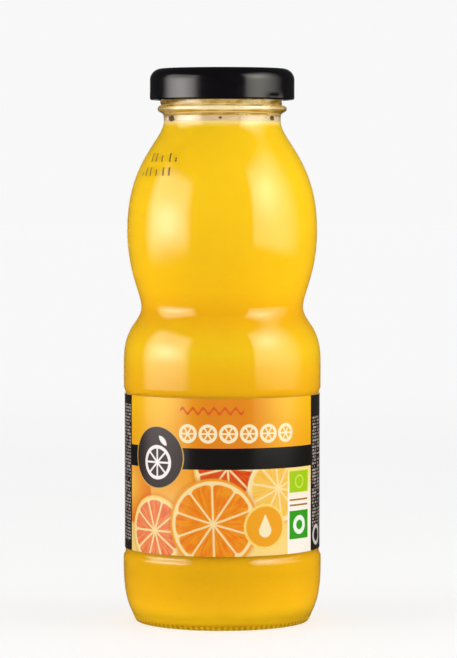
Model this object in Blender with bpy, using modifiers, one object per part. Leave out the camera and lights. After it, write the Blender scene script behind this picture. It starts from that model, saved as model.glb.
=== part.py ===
"""Quarter-litre bottle of orange juice: waisted clear glass, black twist-off cap, wrap-around label.

The origin is on the axis at the foot, +Z points up through the cap, and -Y is the label's front.
Outline points are (radius, height above the foot) in millimetres, and objects are in metres.
"""
import math

import bmesh
import bpy
from mathutils import Vector
from mathutils.geometry import interpolate_bezier

MM = 0.001
SEGMENTS = 48
MERGE_DISTANCE = 0.00001
GAP = 0.30

# Glass stations, from the mouth down
MOUTH_Z = 155.0
BORE_R = 14.5
FINISH_R = 16.95
LIP_ROUND = 0.9
BEAD_R = 18.24
BEAD_Z = 144.75
BEAD_HALF_HEIGHT = 1.25
BEAD_TIP = 0.2
THROAT_R = 16.58
THROAT_Z = 141.4
THROAT_FLARE = 0.45
BULGE_R = 26.95
BULGE_Z = 110.8
WAIST_R = 22.97
WAIST_Z = 89.0
HIP_R = 27.97
HIP_Z = 73.9
PANEL_R = 27.35
PANEL_TOP_Z = 65.2
PANEL_BOTTOM_Z = 19.8
PANEL_STEP = 1.0
PANEL_FILLET = 0.12
HEEL_R = 28.07
HEEL_Z = 17.0
FOOT_SIDE_R = 24.85
FOOT_SIDE_Z = 0.75
FOOT_ROUND = 0.3
FOOT_OUTER_R = 24.0
FOOT_INNER_R = 22.6
PUNT_R = 20.6
PUNT_EDGE_Z = 1.3
PUNT_CENTRE_Z = 2.6

# How far the side runs on straight up or down at each station before it turns
THROAT_PULL = 5.2
BULGE_UPPER_PULL = 19.5
BULGE_LOWER_PULL = 12.2
WAIST_UPPER_PULL = 3.7
WAIST_LOWER_PULL = 4.1
HIP_PULL = 10.0
HEEL_PULL = 10.35
FOOT_PULL = 4.16
FOOT_SLOPE_DEG = 65.7

# Glass thickness and the rounded inside corner of the floor
WALL = 2.2
FLOOR_Z = 4.4
FLOOR_CENTRE_Z = 5.6
FLOOR_R = 13.0
FLOOR_PULL = 8.5
CORNER_TOP_Z = 18.0
CORNER_PULL = 9.5

# Points along each stretch
OUTER_STEPS = 8
INNER_STEPS = 6
CORNER_STEPS = 5
HEEL_STEPS = 6

# Thread ridges on the finish: three starts, each climbing to the right
RIDGE_STARTS = 3
RIDGE_FIRST_DEG = 187.0
RIDGE_SWEEP_DEG = 105.0
RIDGE_LOW_Z = 146.3
RIDGE_HIGH_Z = 151.4
RIDGE_CENTRE_R = 17.0
RIDGE_BAR_R = 1.12
RIDGE_STEPS = 10
RIDGE_END_TAPER = 0.5

# Juice
JUICE_LEVEL_Z = 141.3

# Cap: rolled sheet metal with a sunken panel and a small safety button
CAP_TOP_Z = 156.3
CAP_SIDE_R = 20.45
CAP_CORNER = 3.3
CAP_SHEET = 0.30
CAP_PANEL_R = 14.4
CAP_PANEL_DROP = 0.55
CAP_PANEL_SLOPE = 0.9
CAP_BUTTON_R = 7.5
CAP_BUTTON_EDGE = 1.2
CAP_BUTTON_RISE = 0.25
CAP_HEM_Z = 147.35
CAP_CURL_R = 0.75
CAP_CURL_SWEEP_DEG = 205.0
CAP_CORNER_STEPS = 4
CAP_CURL_STEPS = 5

# Label
LABEL_TOP_Z = 64.6
LABEL_BOTTOM_Z = 21.0
LABEL_THICKNESS = 0.15
LABEL_CLEARANCE = 0.25
LABEL_R = PANEL_R + LABEL_CLEARANCE + LABEL_THICKNESS


def clear_scene():
    for old in list(bpy.data.objects):
        bpy.data.objects.remove(old, do_unlink=True)


def new_collection(name):
    collection = bpy.data.collections.new(name)
    bpy.context.scene.collection.children.link(collection)
    return collection


def material(name, colour, roughness, metallic=0.0, transmission=0.0):
    made = bpy.data.materials.new(name)
    made.use_nodes = True
    shader = made.node_tree.nodes["Principled BSDF"]
    shader.inputs["Base Color"].default_value = (*colour, 1.0)
    shader.inputs["Roughness"].default_value = roughness
    shader.inputs["Metallic"].default_value = metallic
    shader.inputs["Transmission Weight"].default_value = transmission
    made.diffuse_color = (*colour, 1.0 - 0.7 * transmission)
    return made


def bezier(start, start_handle, end_handle, end, steps):
    """Points of one cubic stretch, without its first point."""
    knots = [Vector((r, z, 0.0)) for r, z in (start, start_handle, end_handle, end)]
    points = interpolate_bezier(*knots, steps + 1)
    return [(point.x, point.y) for point in points[1:]]


def s_curve(upper, lower, upper_pull, lower_pull, steps):
    """A stretch that is upright where it leaves one station and where it reaches the next."""
    start_handle = (upper[0], upper[1] - upper_pull)
    end_handle = (lower[0], lower[1] + lower_pull)
    return bezier(upper, start_handle, end_handle, lower, steps)


def arc(centre, radius, start_deg, end_deg, steps):
    """Points of a circular stretch, both ends included."""
    points = []
    for step in range(steps + 1):
        angle = math.radians(start_deg + (end_deg - start_deg) * step / steps)
        points.append((centre[0] + radius * math.cos(angle), centre[1] + radius * math.sin(angle)))
    return points


def waisted_side(inset, throat_r, steps):
    """The bottle's side from the throat through bulge and waist to the hip, moved in by inset."""
    throat = (throat_r, THROAT_Z)
    bulge = (BULGE_R - inset, BULGE_Z)
    waist = (WAIST_R - inset, WAIST_Z)
    hip = (HIP_R - inset, HIP_Z)
    side = [throat]
    side += s_curve(throat, bulge, THROAT_PULL, BULGE_UPPER_PULL, steps)
    side += s_curve(bulge, waist, BULGE_LOWER_PULL, WAIST_UPPER_PULL, steps)
    side += s_curve(waist, hip, WAIST_LOWER_PULL, HIP_PULL, steps - 1)
    return side


def cavity(shrink):
    """The inside of the glass from the throat down to the middle of the floor, less shrink."""
    wall_r = HIP_R - WALL - shrink
    floor_z = FLOOR_Z + shrink
    corner_top = (wall_r, CORNER_TOP_Z)
    wall_handle = (wall_r, CORNER_TOP_Z - CORNER_PULL)
    floor_handle = (FLOOR_R + FLOOR_PULL, floor_z)
    side = waisted_side(WALL + shrink, BORE_R - shrink, INNER_STEPS)
    side.append(corner_top)
    side += bezier(corner_top, wall_handle, floor_handle, (FLOOR_R, floor_z), CORNER_STEPS)
    side.append((0.0, FLOOR_CENTRE_Z + shrink))
    return side


def finish_outline():
    """Lip, straight finish and pointed bead, down to just above the throat."""
    lip_z = MOUTH_Z - LIP_ROUND
    outline = arc((BORE_R + LIP_ROUND, lip_z), LIP_ROUND, 180.0, 90.0, 2)
    outline += arc((FINISH_R - LIP_ROUND, lip_z), LIP_ROUND, 90.0, 0.0, 3)
    outline += [
        (FINISH_R, BEAD_Z + BEAD_HALF_HEIGHT),
        (BEAD_R - BEAD_TIP, BEAD_Z + BEAD_TIP),
        (BEAD_R, BEAD_Z),
        (BEAD_R - BEAD_TIP, BEAD_Z - BEAD_TIP),
        (THROAT_R + THROAT_FLARE, BEAD_Z - BEAD_HALF_HEIGHT),
        (THROAT_R + THROAT_FLARE / 3.0, BEAD_Z - 2.0 * BEAD_HALF_HEIGHT),
    ]
    return outline


def foot_outline():
    """Heel, foot ring and the hollow under the base."""
    heel = (HEEL_R, HEEL_Z)
    foot_side = (FOOT_SIDE_R, FOOT_SIDE_Z)
    slope = math.radians(FOOT_SLOPE_DEG)
    foot_handle = (FOOT_SIDE_R + FOOT_PULL * math.cos(slope), FOOT_SIDE_Z + FOOT_PULL * math.sin(slope))
    outline = [heel]
    outline += bezier(heel, (HEEL_R, HEEL_Z - HEEL_PULL), foot_handle, foot_side, HEEL_STEPS)
    outline += [
        (FOOT_SIDE_R - FOOT_ROUND, FOOT_ROUND),
        (FOOT_OUTER_R, 0.0),
        (FOOT_INNER_R, 0.0),
        (0.5 * (FOOT_INNER_R + PUNT_R), 0.4 * PUNT_EDGE_Z),
        (PUNT_R, PUNT_EDGE_Z),
        (0.5 * PUNT_R, 0.25 * PUNT_EDGE_Z + 0.75 * PUNT_CENTRE_Z),
        (0.0, PUNT_CENTRE_Z),
    ]
    return outline


def panel_outline():
    """The hip's lower edge and the shallow band that the label sits in."""
    return [
        (HIP_R, PANEL_TOP_Z + PANEL_STEP),
        (PANEL_R + PANEL_FILLET, PANEL_TOP_Z + 0.25 * PANEL_STEP),
        (PANEL_R, PANEL_TOP_Z),
        (PANEL_R, PANEL_BOTTOM_Z),
        (PANEL_R + PANEL_FILLET, PANEL_BOTTOM_Z - 0.25 * PANEL_STEP),
        (HEEL_R, PANEL_BOTTOM_Z - PANEL_STEP),
    ]


def glass_outline():
    """One line from the middle of the floor, up inside, over the lip and down outside."""
    inside = list(reversed(cavity(0.0)))
    outside = finish_outline() + waisted_side(0.0, THROAT_R, OUTER_STEPS)
    return inside + outside + panel_outline() + foot_outline()


def juice_outline():
    side = [point for point in cavity(GAP) if point[1] < JUICE_LEVEL_Z]
    return [(0.0, JUICE_LEVEL_Z), (BORE_R - GAP, JUICE_LEVEL_Z)] + side


def cap_outline():
    """The outer face of the sheet from the middle of the top to the end of the rolled hem."""
    panel_z = CAP_TOP_Z - CAP_PANEL_DROP
    corner_centre = (CAP_SIDE_R - CAP_CORNER, CAP_TOP_Z - CAP_CORNER)
    curl_centre = (CAP_SIDE_R - CAP_CURL_R, CAP_HEM_Z + CAP_CURL_R)
    outline = [
        (0.0, panel_z + CAP_BUTTON_RISE),
        (CAP_BUTTON_R - CAP_BUTTON_EDGE, panel_z + 0.9 * CAP_BUTTON_RISE),
        (CAP_BUTTON_R, panel_z),
        (CAP_PANEL_R, panel_z),
        (CAP_PANEL_R + CAP_PANEL_SLOPE, CAP_TOP_Z - 0.15 * CAP_PANEL_DROP),
    ]
    outline += arc(corner_centre, CAP_CORNER, 90.0, 0.0, CAP_CORNER_STEPS)
    outline += arc(curl_centre, CAP_CURL_R, 0.0, -CAP_CURL_SWEEP_DEG, CAP_CURL_STEPS)
    return outline


def turned(name, outline, base_z, skin, collection):
    """Revolve an outline about the vertical axis; the object's origin is at base_z on that axis."""
    mesh = bpy.data.meshes.new(name)
    vertices = [(r * MM, 0.0, (z - base_z) * MM) for r, z in outline]
    edges = [(i, i + 1) for i in range(len(vertices) - 1)]
    mesh.from_pydata(vertices, edges, [])
    mesh.materials.append(skin)
    part = bpy.data.objects.new(name, mesh)
    part.location.z = base_z * MM
    collection.objects.link(part)
    screw = part.modifiers.new("turn", 'SCREW')
    screw.axis = 'Z'
    screw.steps = SEGMENTS
    screw.render_steps = SEGMENTS
    screw.use_merge_vertices = True
    screw.merge_threshold = MERGE_DISTANCE
    screw.use_smooth_shade = True
    return part


def thicken(part, thickness):
    """Give an open turned sheet its thickness, on the inner side of the face that shows."""
    shell = part.modifiers.new("sheet", 'SOLIDIFY')
    shell.thickness = thickness * MM
    shell.offset = -1.0
    shell.use_even_offset = True


def ridge_curve(index):
    """A helix at the finish wall, thinner at its two ends."""
    curve = bpy.data.curves.new("ridge_path", 'CURVE')
    curve.dimensions = '3D'
    curve.bevel_depth = RIDGE_BAR_R * MM
    curve.bevel_resolution = 1
    curve.use_fill_caps = True
    spline = curve.splines.new('POLY')
    spline.points.add(RIDGE_STEPS)
    first_deg = RIDGE_FIRST_DEG + 360.0 * index / RIDGE_STARTS
    for step, point in enumerate(spline.points):
        along = step / RIDGE_STEPS
        angle = math.radians(first_deg + RIDGE_SWEEP_DEG * along)
        x = RIDGE_CENTRE_R * math.cos(angle)
        y = RIDGE_CENTRE_R * math.sin(angle)
        z = RIDGE_LOW_Z + (RIDGE_HIGH_Z - RIDGE_LOW_Z) * along
        point.co = (x * MM, y * MM, z * MM, 1.0)
        point.radius = RIDGE_END_TAPER if step in (0, RIDGE_STEPS) else 1.0
    return curve


def ridge(index, cutters):
    """One thread ridge as a closed bar, half sunk in the finish wall."""
    path = bpy.data.objects.new("ridge_path", ridge_curve(index))
    cutters.objects.link(path)
    bpy.context.view_layer.update()
    evaluated = path.evaluated_get(bpy.context.evaluated_depsgraph_get())
    mesh = bpy.data.meshes.new_from_object(evaluated)
    weld = bmesh.new()
    weld.from_mesh(mesh)
    bmesh.ops.remove_doubles(weld, verts=weld.verts, dist=MERGE_DISTANCE)
    weld.to_mesh(mesh)
    weld.free()
    bar = bpy.data.objects.new(f"thread_ridge_{index + 1}", mesh)
    bar.matrix_world = path.matrix_world
    bar.display_type = 'WIRE'
    bar.hide_render = True
    cutters.objects.link(bar)
    bpy.data.objects.remove(path, do_unlink=True)


def build_glass(parts, cutters):
    clear_glass = material("clear_glass", (0.86, 0.90, 0.88), 0.03, transmission=1.0)
    bottle = turned("glass_bottle", glass_outline(), 0.0, clear_glass, parts)
    for index in range(RIDGE_STARTS):
        ridge(index, cutters)
    join = bottle.modifiers.new("thread ridges", 'BOOLEAN')
    join.operation = 'UNION'
    join.solver = 'EXACT'
    join.operand_type = 'COLLECTION'
    join.collection = cutters
    return bottle


def build_juice(parts):
    juice_yellow = material("orange_juice", (0.93, 0.52, 0.02), 0.35)
    return turned("orange_juice", juice_outline(), FLOOR_Z + GAP, juice_yellow, parts)


def build_cap(parts):
    black_lacquer = material("black_lacquer", (0.012, 0.012, 0.014), 0.28, metallic=0.2)
    cap = turned("twist_cap", cap_outline(), CAP_HEM_Z, black_lacquer, parts)
    thicken(cap, CAP_SHEET)
    return cap


def build_label(parts):
    printed_paper = material("printed_label", (0.80, 0.28, 0.02), 0.45)
    outline = [(LABEL_R, LABEL_TOP_Z), (LABEL_R, LABEL_BOTTOM_Z)]
    label = turned("label", outline, LABEL_BOTTOM_Z, printed_paper, parts)
    thicken(label, LABEL_THICKNESS)
    return label


def build():
    clear_scene()
    parts = new_collection("orange_juice_bottle")
    cutters = new_collection("cutters")
    foot = bpy.data.objects.new("foot_centre", None)
    parts.objects.link(foot)
    pieces = [
        build_glass(parts, cutters),
        build_juice(parts),
        build_cap(parts),
        build_label(parts),
    ]
    for piece in pieces:
        piece.parent = foot


build()
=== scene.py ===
"""Studio picture of a quarter-litre bottle of orange juice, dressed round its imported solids.

Outlines and the label's print are in millimetres; meshes and the other materials are in metres. An
outline is a list of (radius, height above the foot). Azimuths are degrees round the bottle from the
label's front, positive towards the viewer's right.
"""
import math
import random

import bpy
from mathutils import Matrix, Vector
from mathutils.geometry import interpolate_bezier


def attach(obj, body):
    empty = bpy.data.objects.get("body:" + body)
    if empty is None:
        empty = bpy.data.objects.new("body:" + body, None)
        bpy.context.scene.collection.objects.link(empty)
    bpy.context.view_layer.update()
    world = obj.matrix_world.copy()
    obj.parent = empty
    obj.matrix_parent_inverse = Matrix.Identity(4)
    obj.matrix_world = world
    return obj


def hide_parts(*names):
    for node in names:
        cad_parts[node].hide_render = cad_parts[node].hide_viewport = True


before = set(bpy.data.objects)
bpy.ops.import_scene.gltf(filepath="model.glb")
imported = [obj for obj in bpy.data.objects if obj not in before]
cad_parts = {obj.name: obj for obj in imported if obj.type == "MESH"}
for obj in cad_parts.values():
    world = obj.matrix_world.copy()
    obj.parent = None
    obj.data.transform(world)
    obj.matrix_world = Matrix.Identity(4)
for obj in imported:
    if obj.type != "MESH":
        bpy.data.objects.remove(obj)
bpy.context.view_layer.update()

MM = 0.001
SEGMENTS = 192

# Glass stations, from the mouth down
MOUTH_Z = 155.0
BORE_R = 14.5
FINISH_R = 16.95
LIP_ROUND = 0.9
BEAD_R = 18.24
BEAD_Z = 144.75
BEAD_HALF_HEIGHT = 1.25
THROAT_R = 16.58
THROAT_Z = 141.4
BULGE_R = 26.95
BULGE_Z = 110.8
WAIST_R = 22.97
WAIST_Z = 89.0
HIP_R = 27.97
HIP_Z = 73.9
PANEL_R = 27.50
PANEL_TOP_Z = 65.2
PANEL_BOTTOM_Z = 19.8
PANEL_STEP = 1.0
HEEL_R = 28.07
HEEL_Z = 17.0
FOOT_SIDE_R = 24.85
FOOT_SIDE_Z = 0.75
FOOT_OUTER_R = 24.0
FOOT_INNER_R = 22.6
PUNT_R = 20.6
PUNT_EDGE_Z = 1.3
PUNT_CENTRE_Z = 2.6
WALL = 2.2
FLOOR_Z = 3.2
FLOOR_CENTRE_Z = 4.6
FLOOR_R = 13.0
CORNER_TOP_Z = 18.0

# Thread ridges on the finish
RIDGE_STARTS = 3
RIDGE_FIRST_AZIMUTH = -83.0
RIDGE_SWEEP = 105.0
RIDGE_LOW_Z = 146.3
RIDGE_HIGH_Z = 151.4
RIDGE_HEIGHT = 1.15
RIDGE_HALF_WIDTH = 1.3
RIDGE_TAPER = 9.0
RIDGE_BLUNTNESS = 0.8

# Bars of the stippled foot ring
STIPPLE_COUNT = 96
STIPPLE_HEIGHT = 0.35
STIPPLE_TOP_Z = 2.6
# Dark olive painted shade between the bars at the very bottom of the foot
STIPPLE_PAINTED_SHADE = (0.22, 0.19, 0.07)

# Juice
JUICE_LEVEL_Z = 140.9
JUICE_INTO_WALL = 0.08
MENISCUS_RISE = 0.45
MENISCUS_WIDTH = 2.4

# Film of juice on the neck's wall
FILM_TOP_Z = 151.6
FILM_INTO_BORE = 0.1

# Juice colours by height above the foot, in metres, carrying painted light and shade: bright near the foot,
# dim through the heel, darker at the waist, lighter in the bulge and pale at the surface
JUICE_TINTS_AND_PAINTED_LIGHT = (
    (0.0025, (0.98, 0.640, 0.010)),
    (0.005, (0.77, 0.435, 0.008)),
    (0.009, (0.68, 0.365, 0.007)),
    (0.0145, (0.605, 0.332, 0.005)),
    (0.020, (0.61, 0.325, 0.005)),
    (0.064, (0.63, 0.325, 0.006)),
    (0.070, (0.645, 0.355, 0.007)),
    (0.077, (0.63, 0.416, 0.009)),
    (0.0875, (0.65, 0.357, 0.006)),
    (0.094, (0.69, 0.415, 0.007)),
    (0.106, (0.655, 0.414, 0.009)),
    (0.131, (0.69, 0.458, 0.010)),
    (0.1395, (0.69, 0.458, 0.010)),
    (0.1412, (0.84, 0.66, 0.26)),
)

# Painted shade in the glass of the bead: an ochre band under it by height in metres, and deeper at the
# bead's two ends
BEAD_PAINTED_SHADE = (
    (0.1424, (0.99, 0.995, 0.985)),
    (0.1427, (0.84, 0.70, 0.38)),
    (0.1431, (0.72, 0.58, 0.28)),
    (0.1436, (0.54, 0.40, 0.14)),
    (0.1441, (0.58, 0.44, 0.17)),
    (0.1443, (0.99, 0.995, 0.985)),
)
BEAD_END_PAINTED_SHADE = (0.64, 0.56, 0.38)
BEAD_INSIDE_R = 0.016

# Colours of the film of juice in the neck by height in metres, with painted highlights in its pale bands,
# painted shade in its deep ochre under the bead, and painted shade at its two ends
FILM_TINTS_AND_PAINTED_LIGHT = (
    (0.1427, (0.90, 0.70, 0.48)),
    (0.1430, (0.46, 0.28, 0.030)),
    (0.1445, (0.44, 0.26, 0.025)),
    (0.1447, (0.98, 0.86, 0.62)),
    (0.1451, (0.98, 0.86, 0.62)),
    (0.1453, (0.56, 0.36, 0.035)),
    (0.1500, (0.50, 0.32, 0.030)),
)
FILM_END_PAINTED_SHADE = (0.45, 0.28, 0.04)

# Cap
CAP_TOP_Z = 156.3
CAP_SIDE_R = 20.45
CAP_CORNER = 3.3
CAP_SHEET = 0.30
CAP_PANEL_R = 14.4
CAP_PANEL_DROP = 0.55
CAP_BUTTON_R = 7.5
CAP_BUTTON_RISE = 0.25
CAP_HEM_Z = 147.35
CAP_CURL_R = 0.6
CAP_CURL_SWEEP = 205.0
CAP_LUG_AZIMUTHS = (46.0, 166.0, -74.0)
CAP_TILT = 0.8
CAP_PIVOT = Vector((0.0, 0.0, 0.151))
CAP_LUG_TOP_Z = 149.6
CAP_LUG_DEPTH = 0.45
CAP_LUG_FADE = 1.6

# Drops of ink on the shoulder, and rows of (height, first azimuth, (column, drops in it) pairs)
DROP_R = 0.33
DROP_THICKNESS = 0.03
DROP_LIFT = 0.005
DROP_SIDES = 10
DROP_PITCH = 0.6
DROP_SLANT = 0.25
TICK_PITCH = 2.2
TICK_ROWS = (
    (130.1, -60.5, ((0, 4), (1, 4), (2.2, 3), (3.6, 4), (4.6, 2))),
    (126.2, -66.0, ((0, 2), (1, 4), (2, 4), (3.2, 3), (4.5, 4), (5.5, 4))),
)

# Flecks of pulp in the neck, as (azimuth, height, half height), and how many small ones join them
LARGE_FLECKS = ((-64.5, 142.0, 1.05), (-2.0, 142.1, 0.38), (63.0, 142.2, 0.85))
SMALL_FLECKS = 14
FLECK_STRETCH = 1.3
FLECK_HALF_DEPTH = 0.22

# Label: u runs round the bottle from the middle of its front, positive to the right; z is the height
LABEL_TOP_Z = 64.6
LABEL_BOTTOM_Z = 21.0
LABEL_INNER_R = 27.54
LABEL_THICKNESS = 0.14
LABEL_OUTER_R = LABEL_INNER_R + LABEL_THICKNESS
LABEL_LENGTH = 2.0 * math.pi * LABEL_OUTER_R
LABEL_OVERLAP = 6.0
LABEL_STATIONS = 260
FRONT_LEFT_U = -32.0
FRONT_RIGHT_U = 30.7
BAND_BOTTOM_Z = 45.0
BAND_TOP_Z = 50.9
STRIP_LEFT_U = 19.8
INK_LEVEL = 0.64

# Flat map of the label, from 0 to 1
BAKE_SPLIT_U = 45.0
BAKE_MARGIN = 0.005
BAKE_SCALE = 0.99 / (2.0 * BAKE_SPLIT_U + 3.0)
BAKE_UPPER_ROW = 0.490
BAKE_LEFT_END = 0.535
BAKE_EDGE_ROW = 0.972


def bezier(start, start_handle, end_handle, end, steps):
    """Points of one cubic stretch, without its first point."""
    knots = [Vector((r, z, 0.0)) for r, z in (start, start_handle, end_handle, end)]
    return [(point.x, point.y) for point in interpolate_bezier(*knots, steps + 1)[1:]]


def s_curve(upper, lower, upper_pull, lower_pull, steps):
    """A stretch that is upright where it leaves one station and where it reaches the next."""
    start_handle = (upper[0], upper[1] - upper_pull)
    end_handle = (lower[0], lower[1] + lower_pull)
    return bezier(upper, start_handle, end_handle, lower, steps)


def arc(centre, radius, start_deg, end_deg, steps):
    """Points of a circular stretch, both ends included."""
    angles = [math.radians(start_deg + (end_deg - start_deg) * i / steps) for i in range(steps + 1)]
    return [(centre[0] + radius * math.cos(a), centre[1] + radius * math.sin(a)) for a in angles]


def straight(start, end, steps):
    """Points of a straight stretch, without its first point."""
    return [
        (start[0] + (end[0] - start[0]) * i / steps, start[1] + (end[1] - start[1]) * i / steps)
        for i in range(1, steps + 1)
    ]


def rounded(corners, steps=6):
    """A path through (radius, height, rounding) corners, each corner eased over its rounding."""
    path = []
    for i, (r, z, ease) in enumerate(corners):
        here = Vector((r, z))
        if ease == 0.0 or i in (0, len(corners) - 1):
            path.append((r, z))
            continue
        before = Vector(corners[i - 1][:2]) - here
        after = Vector(corners[i + 1][:2]) - here
        first = here + before.normalized() * min(ease, 0.49 * before.length)
        last = here + after.normalized() * min(ease, 0.49 * after.length)
        for step in range(steps + 1):
            t = step / steps
            point = (1 - t) ** 2 * first + 2 * t * (1 - t) * here + t * t * last
            path.append((point.x, point.y))
    return path


def smooth(low, high, value):
    """0 below low, 1 above high, and an eased slope between."""
    t = min(1.0, max(0.0, (value - low) / (high - low)))
    return t * t * (3.0 - 2.0 * t)


def outward(azimuth):
    """x and y of the level direction out from the axis at an azimuth."""
    angle = math.radians(azimuth - 90.0)
    return math.cos(angle), math.sin(angle)


def new_object(name, data):
    made = bpy.data.objects.new(name, data)
    bpy.context.scene.collection.objects.link(made)
    return made


def mesh_object(name, vertices, faces, materials, face_materials=None):
    """A smooth-shaded object; face_materials gives each face's place in materials."""
    mesh = bpy.data.meshes.new(name)
    mesh.from_pydata([tuple(v) for v in vertices], [], faces)
    for skin in materials:
        mesh.materials.append(skin)
    if face_materials is not None:
        mesh.polygons.foreach_set("material_index", face_materials)
    mesh.polygons.foreach_set("use_smooth", [True] * len(mesh.polygons))
    mesh.update()
    return new_object(name, mesh)


def turned(name, outline, skins, relief=None, inner_from=None):
    """A closed body round the vertical axis. The outline starts and ends on the axis and runs down
    its outer side; relief(azimuth, r, z) says how far out the surface stands there. From the outline
    point inner_from onwards the second skin is used."""
    start, rings, end = outline[0], outline[1:-1], outline[-1]
    azimuths = [360.0 * j / SEGMENTS for j in range(SEGMENTS)]
    directions = [outward(azimuth) for azimuth in azimuths]
    vertices = []
    for r, z in rings:
        for azimuth, (x, y) in zip(azimuths, directions):
            out = r + (relief(azimuth, r, z) if relief else 0.0)
            vertices.append((out * x * MM, out * y * MM, z * MM))
    first_pole = len(vertices)
    vertices.append((0.0, 0.0, start[1] * MM))
    vertices.append((0.0, 0.0, end[1] * MM))
    faces, chosen = [], []
    last_ring = (len(rings) - 1) * SEGMENTS
    inner = len(rings) if inner_from is None else inner_from
    for j in range(SEGMENTS):
        k = (j + 1) % SEGMENTS
        faces += [(first_pole, j, k), (last_ring + j, first_pole + 1, last_ring + k)]
        chosen += [0, len(skins) - 1]
        for ring in range(len(rings) - 1):
            i = ring * SEGMENTS
            faces.append((i + j, i + SEGMENTS + j, i + SEGMENTS + k, i + k))
            chosen.append(1 if ring >= inner else 0)
    return mesh_object(name, vertices, faces, skins, chosen)


class Graph:
    """Short calls for the nodes of a material, lamp or world. A value is a number, a colour or another
    node's output."""

    def __init__(self, owner):
        owner.use_nodes = True
        self.owner = owner
        self.nodes = owner.node_tree.nodes
        self.links = owner.node_tree.links

    def feed(self, socket, value):
        if isinstance(value, bpy.types.NodeSocket):
            self.links.new(value, socket)
        elif socket.type == 'RGBA' and len(value) == 3:
            socket.default_value = (*value, 1.0)
        else:
            socket.default_value = value

    def surface(self, **inputs):
        """Set the main shader's inputs, named with underscores for spaces, and give the shader."""
        shader = self.nodes["Principled BSDF"]
        for name, value in inputs.items():
            self.feed(shader.inputs[name.replace("_", " ")], value)
        return shader

    def node(self, kind, inputs=(), **settings):
        made = self.nodes.new("ShaderNode" + kind)
        for name, value in settings.items():
            setattr(made, name, value)
        for key, value in dict(inputs).items():
            self.feed(made.inputs[key], value)
        return made

    def math(self, operation, *values):
        return self.node("Math", enumerate(values), operation=operation).outputs[0]

    def gap(self, first, second):
        return self.math('ABSOLUTE', self.math('SUBTRACT', first, second))

    def product(self, first, *others):
        for other in others:
            first = self.math('MULTIPLY', first, other)
        return first

    def vector(self, operation, *values):
        made = self.node("VectorMath", enumerate(values), operation=operation)
        number = operation in ("DISTANCE", "LENGTH", "DOT_PRODUCT")
        return made.outputs["Value" if number else "Vector"]

    def position(self):
        return self.node("TexCoord").outputs["Object"]

    def split(self, vector):
        return self.node("SeparateXYZ", {0: vector}).outputs

    def join(self, x, y, z=0.0):
        return self.node("CombineXYZ", {0: x, 1: y, 2: z}).outputs[0]

    def ramp(self, value, low, high, to_low=0.0, to_high=1.0, shape='SMOOTHSTEP'):
        """From to_low at low to to_high at high, and level outside; low may be the larger."""
        inputs = enumerate((value, low, high, to_low, to_high))
        return self.node("MapRange", inputs, interpolation_type=shape).outputs["Result"]

    def noise(self, vector, scale, detail=2.0, roughness=0.5):
        inputs = {"Vector": vector, "Scale": scale, "Detail": detail, "Roughness": roughness}
        return self.node("TexNoise", inputs).outputs["Fac"]

    def bell(self, x, y, centre, size):
        """1 at the centre, falling off as a bell with the given half sizes."""
        across = self.math('DIVIDE', self.math('SUBTRACT', x, centre[0]), size[0])
        up = self.math('DIVIDE', self.math('SUBTRACT', y, centre[1]), size[1])
        away = self.vector('LENGTH', self.join(across, up))
        return self.math('EXPONENT', self.product(away, away, -1.0))

    def stops(self, value, stops):
        """A colour that follows a value through (value, colour) stops, lowest first."""
        low, high = stops[0][0], stops[-1][0]
        ramp = self.node("ValToRGB", {0: self.ramp(value, low, high, shape='LINEAR')})
        elements = ramp.color_ramp.elements
        while len(elements) < len(stops):
            elements.new(0.5)
        for element, (place, colour) in zip(elements, stops):
            element.position = (place - low) / (high - low)
            element.color = (*colour, 1.0)
        return ramp.outputs["Color"]

    def mix(self, factor, first, second):
        made = self.nodes.new("ShaderNodeMix")
        made.data_type = 'RGBA'
        self.feed(made.inputs["Factor"], factor)
        self.feed(made.inputs[6], first)
        self.feed(made.inputs[7], second)
        return made.outputs[2]

    def bump(self, height, distance_mm, strength, normal=None):
        inputs = {"Height": height, "Distance": distance_mm * MM, "Strength": strength}
        if normal is not None:
            inputs["Normal"] = normal
        return self.node("Bump", inputs).outputs["Normal"]


def new_material(name):
    return Graph(bpy.data.materials.new(name))


def srgb(red, green, blue):
    """Linear colour of a display colour given from 0 to 255."""
    def linear(c):
        c /= 255.0
        return c / 12.92 if c <= 0.04045 else ((c + 0.055) / 1.055) ** 2.4
    return (linear(red), linear(green), linear(blue))


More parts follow.
